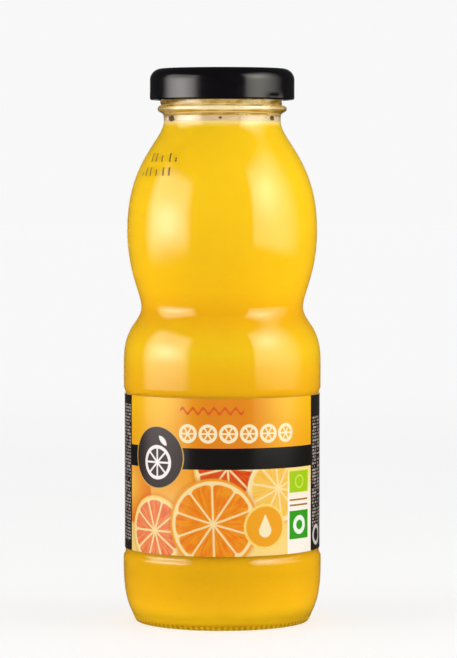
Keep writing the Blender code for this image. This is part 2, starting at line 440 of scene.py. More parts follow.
def glass_material():
    """Clear glass with the faint unevenness of a blown wall, with painted ochre shade in its bead and
    painted olive shade between the bars of its foot."""
    g = new_material("clear_glass")
    place = g.position()
    waves = g.noise(place, 42.0, 1.0)
    grain = g.noise(place, 260.0, 2.0)
    x, y, z = g.split(place)[0:3]
    # painted shade: dark olive between the foot's bars at its very bottom
    wave = g.math('COSINE', g.product(g.math('ARCTAN2', x, y), float(STIPPLE_COUNT)))
    shade = g.product(g.ramp(z, 0.0015, 0.0008), g.ramp(wave, -0.5, 0.4, 0.22, 0.9))
    # painted shade in the bead's glass: ochre under the bead, and deeper at the left and right sides of the
    # neck
    outside = g.math('GREATER_THAN', g.vector('LENGTH', g.join(x, y)), BEAD_INSIDE_R)
    painted_bead_shade = g.mix(outside, BEAD_PAINTED_SHADE[0][1], g.stops(z, BEAD_PAINTED_SHADE))
    ends = g.product(g.ramp(g.math('ABSOLUTE', x), 0.0122, 0.0142), g.ramp(z, 0.1420, 0.1430))
    painted_bead_shade = g.mix(ends, painted_bead_shade, BEAD_END_PAINTED_SHADE)
    shader = g.surface(
        Base_Color=g.mix(shade, painted_bead_shade, STIPPLE_PAINTED_SHADE),
        Roughness=g.ramp(g.noise(place, 90.0, 3.0), 0.35, 0.75, 0.012, 0.05),
        IOR=1.5,
        Transmission_Weight=1.0,
        Normal=g.bump(grain, 0.012, 0.5, g.bump(waves, 0.35, 0.35)),
    )
    through = g.node("BsdfTransparent", {0: (0.95, 0.96, 0.94)}).outputs[0]
    lamp_ray = g.node("LightPath").outputs["Is Shadow Ray"]
    mixed = g.node("MixShader", {0: lamp_ray, 1: shader.outputs[0], 2: through}).outputs[0]
    g.links.new(mixed, g.nodes["Material Output"].inputs["Surface"])
    return g.owner


def juice_material():
    """Cloudy juice mottled by pulp, its colour by height painted with light and shade: yellow in the
    bulge and the hip, deeper at the waist and the heel, painted bright at the foot and pale at the surface."""
    g = new_material("cloudy_juice")
    place = g.position()
    # colour by height, with painted light and shade
    body = g.stops(g.split(place)[2], JUICE_TINTS_AND_PAINTED_LIGHT)
    pulp = g.noise(place, 1500.0, 3.0, 0.6)
    cloud = g.noise(place, 70.0, 2.0)
    body = g.mix(g.ramp(cloud, 0.40, 0.75, 0.0, 0.25), body, (0.660, 0.370, 0.005))
    body = g.mix(g.ramp(pulp, 0.56, 0.74, 0.0, 0.22), body, (0.700, 0.500, 0.030))
    g.surface(Base_Color=body, Roughness=0.6, Specular_IOR_Level=0.0)
    return g.owner


def cap_material():
    """Black stoving lacquer on tin plate, with a little orange peel and fine handling wear."""
    g = new_material("black_lacquer")
    place = g.position()
    peel = g.noise(place, 900.0, 2.0)
    scuff = g.noise(place, 300.0, 6.0, 0.7)
    worn = g.ramp(scuff, 0.60, 0.85, 0.0, 0.6)
    g.surface(
        Base_Color=g.mix(worn, (0.0025, 0.002, 0.003), (0.006, 0.005, 0.006)),
        Roughness=g.ramp(scuff, 0.3, 0.8, 0.13, 0.22),
        Specular_IOR_Level=0.42,
        Normal=g.bump(peel, 0.01, 0.25),
    )
    return g.owner


def speckled_material(name, scale, detail, first, second, **inputs):
    """Two tones that mingle by a noise of the given scale."""
    g = new_material(name)
    g.surface(Base_Color=g.mix(g.noise(g.position(), scale, detail), first, second), **inputs)
    return g.owner


def film_material():
    """Thin cloudy film: pale with painted highlight just above the juice and again past the bead, deep
    ochre with painted shade under the bead, deeper elsewhere, and denser and deeper with painted shade at
    its two ends."""
    g = new_material("juice_film")
    place = g.position()
    x, _, height = g.split(place)
    blots = g.noise(g.vector('MULTIPLY', place, (1.0, 1.0, 2.5)), 190.0, 3.0, 0.6)
    # painted shade: the film is deeper and denser at its two sides
    painted_end_shade = g.ramp(g.math('ABSOLUTE', x), 0.0125, 0.0150, 0.0, 0.70)
    body = g.mix(painted_end_shade, g.stops(height, FILM_TINTS_AND_PAINTED_LIGHT), FILM_END_PAINTED_SHADE)
    thick = g.math('MAXIMUM', painted_end_shade, g.ramp(height, 0.1425, 0.1432, 0.45, 0.95))
    g.surface(
        Base_Color=g.mix(g.ramp(blots, 0.42, 0.66, 0.0, 0.55), body, (0.90, 0.74, 0.38)),
        Roughness=0.5,
        Alpha=g.product(g.ramp(blots, 0.25, 0.70, 0.7, 1.0), thick),
    )
    return g.owner


class Print(Graph):
    """The label's print, built up as flat shapes on paper. Sizes are millimetres on the label."""

    def __init__(self, owner):
        super().__init__(owner)
        self.point = self.node("UVMap", uv_map="print").outputs["UV"]
        self.u, self.z = self.split(self.point)[0:2]

    def box(self, left, right, bottom, top):
        wide = self.math('COMPARE', self.u, 0.5 * (left + right), 0.5 * (right - left))
        tall = self.math('COMPARE', self.z, 0.5 * (bottom + top), 0.5 * (top - bottom))
        return self.product(wide, tall)

    def distance(self, centre):
        return self.vector('DISTANCE', self.point, (*centre, 0.0))

    def disc(self, centre, radius, soft=0.12):
        return self.ramp(self.distance(centre), radius + soft, radius - soft)

    def ring(self, centre, radius, width):
        off = self.gap(self.distance(centre), radius)
        return self.ramp(off, 0.5 * width + 0.08, 0.5 * width - 0.08)

    def side(self, start, end, soft=0.15):
        """1 to the left of the line from start to end, 0 to its right."""
        run = Vector(end) - Vector(start)
        normal = Vector((-run.y, run.x)).normalized()
        along = self.vector('DOT_PRODUCT', self.point, (normal.x, normal.y, 0.0))
        level = normal.dot(Vector(start))
        return self.ramp(along, level - soft, level + soft)

    def polar(self, centre):
        """Distance from a centre, and the turn round it from -0.5 to 0.5."""
        offset = self.split(self.vector('SUBTRACT', self.point, (*centre, 0.0)))
        turn = self.math('DIVIDE', self.math('ARCTAN2', offset[1], offset[0]), 2.0 * math.pi)
        return self.distance(centre), turn

    def streaks(self, centre, count):
        """Long thin streaks that run out from a centre."""
        distance, turn = self.polar(centre)
        across = self.product(turn, count)
        return self.noise(self.join(across, self.product(distance, 0.25)), 1.0, 3.0)

    def spokes(self, away, turn, count, edge, core):
        """The spokes of a wheel; core and edge are the soft limits of a spoke's half width."""
        off = self.math('FRACT', self.math('MULTIPLY_ADD', turn, count, 0.5))
        off = self.gap(off, 0.5)
        return self.ramp(self.product(off, away, 2.0 * math.pi / count), edge, core)

    def citrus(self, centre, radius, wedges, turn, flesh, deep_flesh, pith, rind):
        """The cut face of a citrus fruit: rind, pith, and wedges of streaked flesh between
        membranes."""
        distance, around = self.polar(centre)
        pulp = self.mix(self.ramp(self.streaks(centre, 60.0), 0.35, 0.68), flesh, deep_flesh)
        place = self.math('FRACT', self.math('MULTIPLY_ADD', around, float(wedges), turn))
        edge = self.math('ABSOLUTE', self.math('MULTIPLY_ADD', place, 2.0, -1.0))
        to_membrane = self.product(self.math('SUBTRACT', 1.0, edge), distance, math.pi / wedges)
        blunt = self.product(self.math('POWER', edge, 6.0), 0.09 * radius)
        reach = self.math('ADD', distance, blunt)
        within = self.ramp(reach, 0.885 * radius, 0.855 * radius)
        face = self.mix(self.product(self.ramp(to_membrane, 0.10, 0.45), within), pith, pulp)
        return self.mix(self.ramp(distance, 0.93 * radius, 0.96 * radius), face, rind)


def fruit_picture(g):
    """A made-up row of whole citrus wheels in front of one whole orange, on a warm ground."""
    pith = srgb(255, 226, 160)
    picture = g.mix(g.ramp(g.z, 25.0, 44.0), srgb(255, 218, 130), srgb(248, 164, 30))
    skin = g.mix(g.ramp(g.distance((-33.0, 40.0)), 1.0, 11.0), srgb(255, 190, 70), srgb(236, 126, 12))
    picture = g.mix(g.disc((-30.5, 37.5), 8.5, 0.3), picture, skin)
    # Centre, radius, wedges, turn, and the colours of flesh, deep flesh and rind
    wheels = (
        ((1.5, 45.5), 9.5, 9, 0.15, srgb(236, 92, 8), srgb(214, 54, 6), srgb(255, 200, 100)),
        ((16.5, 39.5), 9.4, 10, 0.30, srgb(252, 204, 92), srgb(250, 186, 62), srgb(255, 238, 184)),
        ((-20.5, 27.5), 9.8, 10, 0.00, srgb(250, 150, 92), srgb(238, 112, 62), srgb(255, 214, 110)),
        ((-2.5, 30.0), 12.6, 10, 0.45, srgb(248, 154, 10), srgb(240, 120, 2), srgb(246, 160, 24)),
    )
    for centre, radius, wedges, turn, flesh, deep_flesh, rind in wheels:
        shade = g.ramp(g.distance(centre), radius + 1.4, radius, 0.0, 0.35)
        picture = g.mix(shade, picture, srgb(206, 100, 8))
        face = g.citrus(centre, radius, wedges, turn, flesh, deep_flesh, pith, rind)
        picture = g.mix(g.disc(centre, radius, 0.2), picture, face)
    return picture


def title_frieze(g, ground):
    """A line of pale fruit wheels under a small orange wave, where a pack has its title."""
    left, pitch, wheels, middle, radius = -12.6, 5.75, 6, 54.9, 2.2
    tile = g.math('DIVIDE', g.math('SUBTRACT', g.u, left), pitch)
    across = g.product(g.math('SUBTRACT', g.math('FRACT', tile), 0.5), pitch)
    up = g.math('SUBTRACT', g.z, middle)
    away = g.vector('LENGTH', g.join(across, up))
    turn = g.math('DIVIDE', g.math('ARCTAN2', up, across), 2.0 * math.pi)
    rim = g.ramp(g.gap(away, radius), 0.50, 0.36)
    spokes = g.spokes(away, turn, 6.0, 0.30, 0.18)
    wheel = g.math('MAXIMUM', rim, g.product(spokes, g.math('LESS_THAN', away, radius)))
    row = g.box(left, left + wheels * pitch, middle - 2.9, middle + 2.9)
    ground = g.mix(g.product(wheel, row), ground, srgb(255, 240, 196))
    wave = g.product(g.math('SINE', g.product(g.u, 2.0 * math.pi / 3.0)), 0.75)
    off = g.gap(g.math('SUBTRACT', g.z, 61.2), wave)
    line = g.product(g.ramp(off, 0.52, 0.36), g.box(-12.0, 6.0, 59.0, 63.4))
    return g.mix(line, ground, srgb(226, 92, 12))


def front_panel(g):
    """The label's front: warm field, frieze, picture, the pale strip at the right with its green
    blocks, and a round seal with a drop."""
    glow = g.gap(g.u, 1.0)
    field = g.mix(g.ramp(glow, 4.0, 20.0), srgb(234, 138, 2), srgb(255, 192, 6))
    field = g.mix(g.ramp(g.z, 64.0, 52.0, 0.0, 0.35), field, srgb(236, 134, 0))
    face = title_frieze(g, field)
    face = g.mix(g.box(-33.0, 31.0, 20.0, BAND_BOTTOM_Z), face, fruit_picture(g))

    strip = g.mix(g.ramp(g.z, 45.0, 34.0), srgb(252, 226, 130), srgb(255, 246, 232))
    face = g.mix(g.box(STRIP_LEFT_U, FRONT_RIGHT_U, 20.0, BAND_BOTTOM_Z), face, strip)
    face = g.mix(g.box(20.5, 28.8, 38.0, 44.0), face, srgb(168, 208, 14))
    face = g.mix(g.ring((24.6, 41.0), 1.7, 0.5), face, srgb(206, 232, 70))
    face = g.mix(g.box(20.5, 28.8, 25.0, 32.9), face, srgb(52, 160, 24))
    face = g.mix(g.ring((24.6, 28.9), 2.0, 1.3), face, srgb(240, 250, 232))
    for low in (34.2, 35.7):
        face = g.mix(g.box(20.6, 28.6, low, low + 0.5), face, srgb(176, 120, 60))

    seal = (12.3, 29.1)
    face = g.mix(g.disc(seal, 6.3), face, srgb(255, 216, 110))
    face = g.mix(g.disc(seal, 5.6), face, srgb(246, 166, 20))
    point = (12.3, 32.6)
    tip = g.product(g.side((13.95, 28.9), point), g.side(point, (10.65, 28.9)), g.box(9.0, 15.6, 28.5, 33.2))
    drop = g.math('MAXIMUM', g.disc((12.3, 28.0), 1.9), tip)
    return g.mix(drop, face, srgb(255, 238, 190))


def badge(g, face):
    """A round dark seal with a pale citrus wheel and a leaf."""
    centre = (-19.6, 48.0)
    face = g.mix(g.disc(centre, 8.75), face, srgb(226, 176, 70))
    face = g.mix(g.disc(centre, 8.45), face, srgb(54, 42, 40))
    hub = (-19.6, 46.6)
    away, turn = g.polar(hub)
    spokes = g.product(g.spokes(away, turn, 8.0, 0.34, 0.20), g.math('LESS_THAN', away, 4.4))
    wheel = g.math('MAXIMUM', g.ring(hub, 4.3, 0.95), spokes)
    leaf = g.product(g.disc((-18.9, 51.4), 2.6), g.disc((-16.1, 54.2), 2.9))
    return g.mix(g.math('MAXIMUM', wheel, leaf), face, srgb(250, 244, 240))


def back_panel(g):
    """The dark back: blocks of tiny grey dashes in rows, plain rules, a pale block of bars and a
    pale ring."""
    ground = srgb(36, 29, 23)
    row_pitch, cell_width, bar_width = 0.92, 0.34, 0.5
    row = g.math('DIVIDE', g.z, row_pitch)
    cell = g.math('DIVIDE', g.u, cell_width)
    key = g.join(g.math('FLOOR', cell), g.math('FLOOR', row))
    inked = g.node("TexWhiteNoise", {"Vector": key}, noise_dimensions='2D').outputs["Value"]
    dash = g.math('GREATER_THAN', inked, 0.36)
    tall = g.math('LESS_THAN', g.math('FRACT', row), 0.62)
    block = g.box(FRONT_RIGHT_U + 1.0, 82.0, 23.5, 58.5)
    block = g.math('MAXIMUM', block, g.box(-84.0, FRONT_LEFT_U - 0.8, 23.5, 62.0))
    face = g.mix(g.product(dash, tall, block), ground, srgb(172, 158, 150))
    face = g.mix(g.box(35.2, 35.8, 23.0, 59.0), face, ground)
    for z in (35.4, 47.0):
        face = g.mix(g.box(36.0, 80.0, z, z + 1.9), face, ground)
        face = g.mix(g.box(36.0, 80.0, z + 0.8, z + 1.1), face, srgb(190, 180, 170))
    key = g.math('FLOOR', g.math('DIVIDE', g.u, bar_width))
    bar = g.node("TexWhiteNoise", {"W": key}, noise_dimensions='1D').outputs["Value"]
    bars = g.product(g.math('GREATER_THAN', bar, 0.5), g.box(-76.5, -53.5, 28.0, 40.0))
    face = g.mix(g.box(-79.0, -51.0, 26.5, 41.5), face, srgb(248, 246, 242))
    face = g.mix(bars, face, srgb(20, 18, 18))
    ring_centre = (FRONT_RIGHT_U + 4.2, 25.2)
    face = g.mix(g.disc(ring_centre, 3.5), face, ground)
    return g.mix(g.ring(ring_centre, 2.4, 1.1), face, srgb(214, 206, 198))


def label_material():
    """Semi-gloss printed paper: the front panel with a dark band and a badge, and the dark back."""
    g = Print(bpy.data.materials.new("printed_label"))
    band = g.box(FRONT_LEFT_U, FRONT_RIGHT_U, BAND_BOTTOM_Z, BAND_TOP_Z)
    face = badge(g, g.mix(band, front_panel(g), srgb(22, 20, 19)))
    is_front = g.box(FRONT_LEFT_U, FRONT_RIGHT_U, 20.0, 66.0)
    colour = g.mix(is_front, back_panel(g), face)
    colour = g.node("HueSaturation", {"Color": colour, "Value": INK_LEVEL}).outputs[0]
    paper = g.noise(g.point, 3.0, 4.0, 0.6)
    ripple = g.noise(g.join(g.u, g.product(g.z, 0.35)), 0.16, 1.0)
    g.surface(
        Base_Color=colour,
        Roughness=g.ramp(paper, 0.3, 0.8, 0.15, 0.24),
        Normal=g.bump(paper, 0.010, 0.3, g.bump(ripple, 0.25, 0.3)),
    )
    return g.owner


def waisted_side(inset, throat_r, steps):
    """The bottle's side from the throat through bulge and waist to the hip, moved in by inset."""
    throat = (throat_r, THROAT_Z)
    bulge = (BULGE_R - inset, BULGE_Z)
    waist = (WAIST_R - inset, WAIST_Z)
    hip = (HIP_R - inset, HIP_Z)
    side = [throat]
    side += s_curve(throat, bulge, 5.2, 19.5, steps)
    side += s_curve(bulge, waist, 12.2, 3.7, steps)
    side += s_curve(waist, hip, 4.1, 10.0, steps)
    return side


def cavity(shrink, steps):
    """The inside of the glass from the throat down to the middle of the floor, less shrink."""
    wall_r = HIP_R - WALL - shrink
    floor_z = FLOOR_Z + shrink
    top = (wall_r, CORNER_TOP_Z)
    side = waisted_side(WALL + shrink, BORE_R - shrink, steps)
    side += straight(side[-1], top, 8)
    edge = (FLOOR_R, floor_z)
    side += bezier(top, (wall_r, CORNER_TOP_Z - 14.2), (FLOOR_R + 12.3, floor_z), edge, steps)
    rise = FLOOR_CENTRE_Z - FLOOR_Z
    for i in range(1, 7):
        r = FLOOR_R * (1.0 - i / 6.0)
        side.append((r, floor_z + rise * (0.5 + 0.5 * math.cos(math.pi * r / FLOOR_R))))
    return side


def glass_outline():
    """One line from the middle of the floor, up inside, over the lip, down outside and under the foot."""
    lip_z = MOUTH_Z - LIP_ROUND
    line = list(reversed(cavity(0.0, 20)))
    line += straight(line[-1], (BORE_R, lip_z), 8)
    line += arc((BORE_R + LIP_ROUND, lip_z), LIP_ROUND, 180.0, 90.0, 5)[1:]
    line += arc((FINISH_R - LIP_ROUND, lip_z), LIP_ROUND, 90.0, 0.0, 5)
    line += straight(line[-1], (FINISH_R, BEAD_Z + BEAD_HALF_HEIGHT + 0.2), 34)
    line += rounded([
        (FINISH_R, BEAD_Z + BEAD_HALF_HEIGHT + 0.1, 0.0),
        (FINISH_R, BEAD_Z + BEAD_HALF_HEIGHT - 0.1, 0.4),
        (BEAD_R + 0.06, BEAD_Z + 0.70, 0.55),
        (BEAD_R + 0.06, BEAD_Z - 0.45, 0.55),
        (THROAT_R + 0.05, BEAD_Z - BEAD_HALF_HEIGHT - 0.25, 0.45),
        (THROAT_R, THROAT_Z, 0.0),
    ])
    line += waisted_side(0.0, THROAT_R, 30)[1:]
    line += rounded([
        (HIP_R, HIP_Z - 1.0, 0.0),
        (HIP_R, PANEL_TOP_Z + PANEL_STEP, 0.6),
        (PANEL_R, PANEL_TOP_Z, 0.5),
        (PANEL_R, PANEL_BOTTOM_Z, 0.5),
        (HEEL_R, PANEL_BOTTOM_Z - PANEL_STEP, 0.6),
        (HEEL_R, HEEL_Z, 0.0),
    ])
    heel, foot = (HEEL_R, HEEL_Z), (FOOT_SIDE_R, FOOT_SIDE_Z)
    line += bezier(heel, (HEEL_R, HEEL_Z - 10.35), (26.56, 4.54), foot, 22)
    line += rounded([
        (FOOT_SIDE_R - 0.05, FOOT_SIDE_Z - 0.1, 0.0),
        (FOOT_OUTER_R + 0.4, 0.0, 0.5),
        (FOOT_OUTER_R - 0.1, 0.0, 0.2),
        (FOOT_INNER_R, 0.0, 0.5),
        (PUNT_R, PUNT_EDGE_Z, 1.0),
        (0.5 * PUNT_R, PUNT_CENTRE_Z - 0.25, 4.0),
        (0.5, PUNT_CENTRE_Z, 0.0),
    ])
    line.append((0.0, PUNT_CENTRE_Z))
    return line


def glass_relief(azimuth, r, z):
    """Thread ridges on the finish and short bars round the foot."""
    if z > BEAD_Z + 0.2 and r > FINISH_R - 0.2:
        return ridge_relief(azimuth, z)
    if z < STIPPLE_TOP_Z and r > FOOT_OUTER_R - 0.3:
        wave = math.cos(math.radians(azimuth) * STIPPLE_COUNT)
        band = smooth(0.05, 0.7, z) * smooth(STIPPLE_TOP_Z - 0.1, STIPPLE_TOP_Z - 1.0, z)
        return -STIPPLE_HEIGHT * band * smooth(-0.2, 0.8, wave)
    return 0.0


def ridge_relief(azimuth, z):
    """Ridges that rise as they run to the viewer's right, tapered at their ends."""
    height = 0.0
    for start in range(RIDGE_STARTS):
        first = RIDGE_FIRST_AZIMUTH + 360.0 * start / RIDGE_STARTS
        along = (azimuth - first) % 360.0
        if along > RIDGE_SWEEP:
            continue
        middle = RIDGE_LOW_Z + (RIDGE_HIGH_Z - RIDGE_LOW_Z) * along / RIDGE_SWEEP
        across = abs(z - middle) / RIDGE_HALF_WIDTH
        ends = smooth(0.0, RIDGE_TAPER, along) * smooth(0.0, RIDGE_TAPER, RIDGE_SWEEP - along)
        if across < 1.0:
            crest = math.cos(0.5 * math.pi * across) ** RIDGE_BLUNTNESS
            height = max(height, RIDGE_HEIGHT * ends * crest)
    return height


def juice_outline():
    """The liquid's surface, dished by its meniscus, then the wall it wets and the floor."""
    wall_r = BORE_R + JUICE_INTO_WALL
    surface = [(0.0, JUICE_LEVEL_Z)]
    for i in range(1, 17):
        r = wall_r * i / 16.0
        lift = smooth(wall_r - MENISCUS_WIDTH, wall_r, r) ** 2
        surface.append((r, JUICE_LEVEL_Z + MENISCUS_RISE * lift))
    side = [point for point in cavity(-JUICE_INTO_WALL, 20) if point[1] < JUICE_LEVEL_Z]
    return surface + side


def offset_path(path, distance):
    """The same path moved sideways by distance, to the left of its direction of travel."""
    moved = []
    for i, (r, z) in enumerate(path):
        before = path[max(0, i - 1)]
        after = path[min(len(path) - 1, i + 1)]
        run = Vector((after[0] - before[0], after[1] - before[1])).normalized()
        moved.append((r + run.y * distance, z - run.x * distance))
    return moved


def cap_outline():
    """The sheet's outer face to the end of the rolled hem, and back along its inner face."""
    panel_z = CAP_TOP_Z - CAP_PANEL_DROP
    corner = (CAP_SIDE_R - CAP_CORNER, CAP_TOP_Z - CAP_CORNER)
    curl = (CAP_SIDE_R - CAP_CURL_R, CAP_HEM_Z + CAP_CURL_R)
    outer = rounded([
        (0.3, panel_z + CAP_BUTTON_RISE, 0.0),
        (CAP_BUTTON_R - 1.2, panel_z + 0.9 * CAP_BUTTON_RISE, 0.8),
        (CAP_BUTTON_R, panel_z, 0.8),
        (CAP_PANEL_R, panel_z, 0.7),
        (CAP_PANEL_R + 0.9, CAP_TOP_Z - 0.02, 0.6),
        (corner[0], CAP_TOP_Z, 0.0),
    ])
    outer += arc(corner, CAP_CORNER, 90.0, 0.0, 14)[1:]
    outer += straight(outer[-1], (CAP_SIDE_R, curl[1] + 0.1), 8)
    outer += arc(curl, CAP_CURL_R, 0.0, -CAP_CURL_SWEEP, 14)
    inner = offset_path(outer, CAP_SHEET)
    line = [(0.0, outer[0][1])] + outer + list(reversed(inner)) + [(0.0, inner[0][1])]
    return line, len(outer)


def cap_relief(azimuth, _, z):
    """The rolled hem is pinched in a little at the lugs that grip the thread."""
    if z > CAP_LUG_TOP_Z:
        return 0.0
    away = min(abs((azimuth - lug + 180.0) % 360.0 - 180.0) for lug in CAP_LUG_AZIMUTHS)
    low = smooth(CAP_LUG_TOP_Z, CAP_LUG_TOP_Z - CAP_LUG_FADE, z)
    return -CAP_LUG_DEPTH * low * smooth(12.0, 3.0, away)


def ring_body(name, section_at, skin):
    """A closed ring; section_at(azimuth) lists its (radius, height) section clockwise."""
    vertices, faces = [], []
    for j in range(SEGMENTS):
        azimuth = 360.0 * j / SEGMENTS
        x, y = outward(azimuth)
        section = section_at(azimuth)
        vertices += [(r * x * MM, r * y * MM, z * MM) for r, z in section]
    count = len(section)
    for j in range(SEGMENTS):
        k = (j + 1) % SEGMENTS
        for i in range(count):
            n = (i + 1) % count
            faces.append((j * count + i, j * count + n, k * count + n, k * count + i))
    return mesh_object(name, vertices, faces, [skin])


def seal_section(_):
    """Flat ring of sealing compound pressed on the mouth, the same all round."""
    top = CAP_TOP_Z - CAP_SHEET - 0.30
    return [(BORE_R - 0.4, top), (FINISH_R + 0.6, top), (FINISH_R + 0.7, MOUTH_Z - 0.3),
            (FINISH_R - 0.1, MOUTH_Z - 0.05), (BORE_R + 0.2, MOUTH_Z - 0.05), (BORE_R - 0.5, MOUTH_Z - 0.2)]


def film_section(azimuth):
    """The film of juice that clings to the neck's wall, with a ragged upper edge."""
    turn = math.radians(azimuth)
    top = FILM_TOP_Z + 0.7 * math.sin(3.0 * turn + 1.0) + 0.4 * math.sin(7.0 * turn)
    outer, inner = BORE_R + JUICE_INTO_WALL, BORE_R - FILM_INTO_BORE
    low = JUICE_LEVEL_Z + 0.2
    rise = top - low
    return ([(inner, low + rise * i / 6) for i in range(6)] + [(outer, top)]
            + [(outer, top - rise * i / 6) for i in range(1, 7)])


def label_stations():
    """(azimuth, u on the label, inner radius) along the strip; it starts at the back and ends over
    its own start."""
    stations = []
    start_u = -0.5 * LABEL_LENGTH
    length = LABEL_LENGTH + LABEL_OVERLAP
    for i in range(LABEL_STATIONS + 1):
        u = start_u + length * i / LABEL_STATIONS
        lifted = smooth(0.5 * LABEL_LENGTH - 3.0, 0.5 * LABEL_LENGTH - 0.6, u)
        radius = LABEL_INNER_R + lifted * (LABEL_THICKNESS + 0.02)
        stations.append((math.degrees(u / LABEL_OUTER_R), u, radius))
    return stations


def build_label(print_skin, paper_skin):
    """A strip of printed paper wrapped once round the bottle, with its end glued over its start."""
    stations = label_stations()
    vertices = []
    for azimuth, _, radius in stations:
        x, y = outward(azimuth)
        for r in (radius, radius + LABEL_THICKNESS):
            for z in (LABEL_BOTTOM_Z, LABEL_TOP_Z):
                vertices.append((r * x * MM, r * y * MM, z * MM))
    faces, skins = [], []
    for i in range(len(stations) - 1):
        a, b = 4 * i, 4 * (i + 1)
        faces += [(a + 2, b + 2, b + 3, a + 3), (a + 1, b + 1, b, a)]
        faces += [(a, b, b + 2, a + 2), (a + 3, b + 3, b + 1, a + 1)]
        skins += [0, 1, 1, 1]
    last = 4 * (len(stations) - 1)
    faces += [(0, 2, 3, 1), (last + 1, last + 3, last + 2, last)]
    skins += [1, 1]
    label = mesh_object("wrap_label", vertices, faces, [print_skin, paper_skin], skins)
    place = label.data.uv_layers.new(name="print")
    for polygon in label.data.polygons:
        for loop in polygon.loop_indices:
            vertex = label.data.loops[loop].vertex_index
            z = LABEL_TOP_Z if vertex % 2 else LABEL_BOTTOM_Z
            place.data[loop].uv = (stations[vertex // 4][1], z)
    add_baking_map(label, stations)
    label.data.set_sharp_from_angle(angle=math.radians(40.0))
    return label


def add_baking_map(label, stations):
    """Lay the strip out flat in two rows, the front panel whole in the lower one, and the unprinted
    faces squeezed in a line above."""
    flat = label.data.uv_layers.new(name="OFBake")
    first_u = stations[0][1]
    for polygon in label.data.polygons:
        us = [stations[label.data.loops[loop].vertex_index // 4][1] for loop in polygon.loop_indices]
        middle = sum(us) / len(us)
        for loop, u in zip(polygon.loop_indices, us):
            vertex = label.data.loops[loop].vertex_index
            z = LABEL_TOP_Z - LABEL_BOTTOM_Z if vertex % 2 else 0.0
            if polygon.material_index == 1:
                along = BAKE_MARGIN + (u - first_u) * 0.0054
                place = (along, BAKE_EDGE_ROW + z * 0.0005 + (vertex % 4 // 2) * 0.002)
            elif abs(middle) < BAKE_SPLIT_U:
                place = (BAKE_MARGIN + (u + BAKE_SPLIT_U) * BAKE_SCALE, BAKE_MARGIN + z * BAKE_SCALE)
            elif middle > 0.0:
                place = (BAKE_MARGIN + (u - BAKE_SPLIT_U) * BAKE_SCALE, BAKE_UPPER_ROW + z * BAKE_SCALE)
            else:
                place = (BAKE_LEFT_END + (u - first_u) * BAKE_SCALE, BAKE_UPPER_ROW + z * BAKE_SCALE)
            flat.data[loop].uv = place


def surface_at(outline, z):
    """Radius and outward tilt in degrees of the side that the outline has at a height."""
    for (r0, z0), (r1, z1) in zip(outline, outline[1:]):
        if z0 >= z >= z1 and z0 > z1:
            t = (z0 - z) / (z0 - z1)
            return r0 + (r1 - r0) * t, math.degrees(math.atan2(r1 - r0, z0 - z1))
    raise ValueError(f"no side at height {z}")


def build_ink_marks(skin):
    """Two rows of small jet-printed ticks on the shoulder, each a slanting column of round drops."""
    side = waisted_side(0.0, THROAT_R, 60)
    vertices, faces = [], []
    for row_z, first, columns in TICK_ROWS:
        for column, drops in columns:
            for drop in range(drops):
                z = row_z + DROP_PITCH * drop
                radius, tilt = surface_at(side, z)
                across = TICK_PITCH * column - DROP_SLANT * drop
                add_drop(vertices, faces, first + math.degrees(across / radius), radius, z, tilt)
    return mesh_object("ink_marks", vertices, faces, [skin])


def add_drop(vertices, faces, azimuth, radius, z, tilt):
    """One flat round drop of ink, standing a little above the glass."""
    x, y = outward(azimuth)
    out, around = Vector((x, y, 0.0)), Vector((-y, x, 0.0))
    slope = math.radians(tilt)
    normal = out * math.cos(slope) + Vector((0.0, 0.0, math.sin(slope)))
    up = normal.cross(around)
    centre = out * radius + Vector((0.0, 0.0, z))
    base = len(vertices)
    for lift, shrink in ((DROP_LIFT, 1.0), (DROP_LIFT + DROP_THICKNESS, 0.8)):
        for i in range(DROP_SIDES):
            a = 2.0 * math.pi * i / DROP_SIDES
            rim = (around * math.cos(a) + up * math.sin(a)) * DROP_R * shrink
            vertices.append((centre + normal * lift + rim) * MM)
    top = base + DROP_SIDES
    faces.append(tuple(top + i for i in range(DROP_SIDES)))
    faces.append(tuple(base + i for i in reversed(range(DROP_SIDES))))
    for i in range(DROP_SIDES):
        j = (i + 1) % DROP_SIDES
        faces.append((base + i, base + j, top + j, top + i))


def build_pulp(skin):
    """Flecks of pulp left on the inside of the neck just above the juice."""
    draw = random.Random(7)
    spots = list(LARGE_FLECKS)
    for _ in range(SMALL_FLECKS):
        spots.append((draw.uniform(0, 360), draw.uniform(142.2, 143.4), draw.uniform(0.12, 0.26)))
    vertices, faces = [], []
    rings, sides = 6, 10
    for azimuth, z, size in spots:
        x, y = outward(azimuth)
        out, around = Vector((x, y, 0.0)), Vector((-y, x, 0.0))
        centre = out * (BORE_R + 0.05) + Vector((0.0, 0.0, z))
        base = len(vertices)
        for ring in range(1, rings):
            polar = math.pi * ring / rings
            for i in range(sides):
                a = 2.0 * math.pi * i / sides
                across = size * math.sin(polar) * draw.uniform(0.85, 1.1)
                along = around * across * math.cos(a) * FLECK_STRETCH
                point = centre + along + Vector((0, 0, across * math.sin(a)))
                vertices.append((point + out * FLECK_HALF_DEPTH * math.cos(polar)) * MM)
        vertices.append((centre + out * FLECK_HALF_DEPTH) * MM)
        vertices.append((centre - out * FLECK_HALF_DEPTH) * MM)
        front, back = len(vertices) - 2, len(vertices) - 1
        for i in range(sides):
            j = (i + 1) % sides
            faces.append((front, base + i, base + j))
            end = base + (rings - 2) * sides
            faces.append((end + i, back, end + j))
            for ring in range(rings - 2):
                low = base + ring * sides
                faces.append((low + i, low + sides + i, low + sides + j, low + j))
    return mesh_object("pulp_flecks", vertices, faces, [skin])


